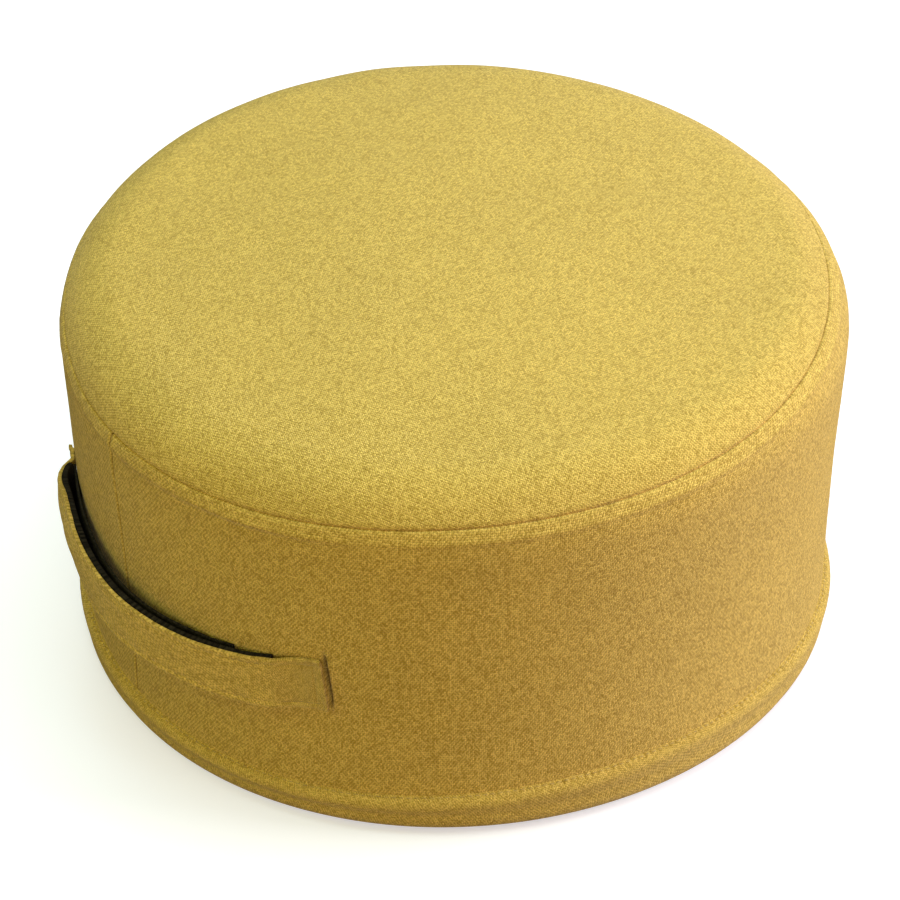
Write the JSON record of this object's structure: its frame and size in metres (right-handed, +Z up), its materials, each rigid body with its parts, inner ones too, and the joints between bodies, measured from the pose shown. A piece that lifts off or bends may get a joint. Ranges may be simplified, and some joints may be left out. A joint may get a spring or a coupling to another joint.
{
  "type": "round floor cushion",
  "caption": "Round stuffed floor cushion with a domed top, a slightly tapered side, a base panel turned up as a rim and a cloth carrying handle backed with webbing.",
  "frame": {"origin": "middle of the flat underside, on the floor", "axes": "+Z up through the middle of the top, -Y towards the carrying handle on the side"},
  "size_m": [0.408, 0.4181, 0.2242],
  "materials": {
    "cloth": "matte woven melange",
    "base_cloth": "matte woven melange",
    "strap_cloth": "matte woven melange",
    "webbing": "matte ribbed"
  },
  "bodies": {
    "root": {"cushion": "cloth", "base_panel": "base_cloth", "handle_strap": "strap_cloth", "handle_webbing": "webbing", "handle_tape": "webbing"}
  },
  "joints": []
}
